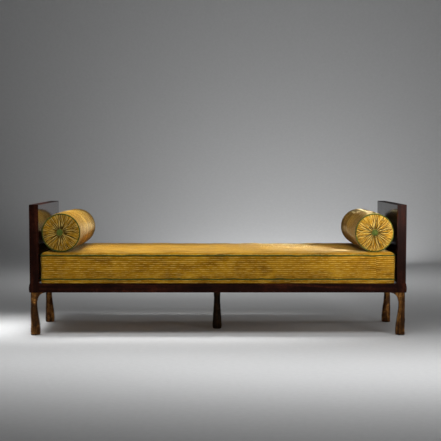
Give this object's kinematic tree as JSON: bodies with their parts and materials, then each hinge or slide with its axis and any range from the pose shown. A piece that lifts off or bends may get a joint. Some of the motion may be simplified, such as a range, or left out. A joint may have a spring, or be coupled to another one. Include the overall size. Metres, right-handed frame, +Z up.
{
  "type": "daybed",
  "caption": "Low daybed with solid wooden ends, a slatted deck on cast bronze legs, a piped mattress and a loose round bolster against each end.",
  "frame": {"origin": "on the floor, in the middle of the footprint", "axes": "+X along the length, front faces -Y, +Z up"},
  "size_m": [2.1058, 0.82, 0.73],
  "materials": {
    "lacquered_wood": "gloss",
    "beech": "satin",
    "bronze": "satin",
    "insert_brass": "satin",
    "steel": "satin",
    "felt": "matte",
    "ochre_cloth": "matte",
    "green_trim": "matte",
    "filling": "matte"
  },
  "bodies": {
    "frame": {"block_bolt_inserts": "insert_brass", "block_bolts": "steel", "end_bottom_rail_left": "lacquered_wood", "end_bottom_rail_right": "lacquered_wood", "end_infill_left": "lacquered_wood", "end_infill_right": "lacquered_wood", "end_top_rail_left": "lacquered_wood", "end_top_rail_right": "lacquered_wood", "frame_dowels": "beech", "front_ledger": "beech", "front_rail": "lacquered_wood", "ledger_screws": "steel", "leg_block_front_left": "beech", "leg_block_front_right": "beech", "leg_block_rear_left": "beech", "leg_block_rear_right": "beech", "leg_front_left": "bronze", "leg_front_right": "bronze", "leg_glides": "felt", "leg_inserts": "insert_brass", "leg_middle": "bronze", "leg_rear_left": "bronze", "leg_rear_right": "bronze", "leg_studs": "steel", "middle_bearer": "beech", "post_front_left": "lacquered_wood", "post_front_right": "lacquered_wood", "post_rear_left": "lacquered_wood", "post_rear_right": "lacquered_wood", "rear_ledger": "beech", "rear_rail": "lacquered_wood", "slat_01": "beech", "slat_02": "beech", "slat_03": "beech", "slat_04": "beech", "slat_05": "beech", "slat_06": "beech", "slat_07": "beech", "slat_08": "beech", "slat_09": "beech", "slat_10": "beech", "slat_11": "beech", "slat_12": "beech", "slat_screws": "steel"},
    "mattress": {"mattress_core": "filling", "mattress_cover": "ochre_cloth", "mattress_piping_lower": "green_trim", "mattress_piping_upper": "green_trim"},
    "bolster_left": {"bolster_left_button_front": "green_trim", "bolster_left_button_rear": "green_trim", "bolster_left_cover": "ochre_cloth", "bolster_left_filling": "filling", "bolster_left_piping_front": "green_trim", "bolster_left_piping_rear": "green_trim"},
    "bolster_right": {"bolster_right_button_front": "green_trim", "bolster_right_button_rear": "green_trim", "bolster_right_cover": "ochre_cloth", "bolster_right_filling": "filling", "bolster_right_piping_front": "green_trim", "bolster_right_piping_rear": "green_trim"}
  },
  "joints": [
    {"name": "mattress_lift", "type": "slide", "parent": "frame", "child": "mattress", "axis": [0, 0, 1], "range_m": [0, 0.5]},
    {"name": "bolster_left_lift", "type": "slide", "parent": "mattress", "child": "bolster_left", "axis": [0, 0, 1], "range_m": [0, 0.35]},
    {"name": "bolster_right_lift", "type": "slide", "parent": "mattress", "child": "bolster_right", "axis": [0, 0, 1], "range_m": [0, 0.35]}
  ]
}
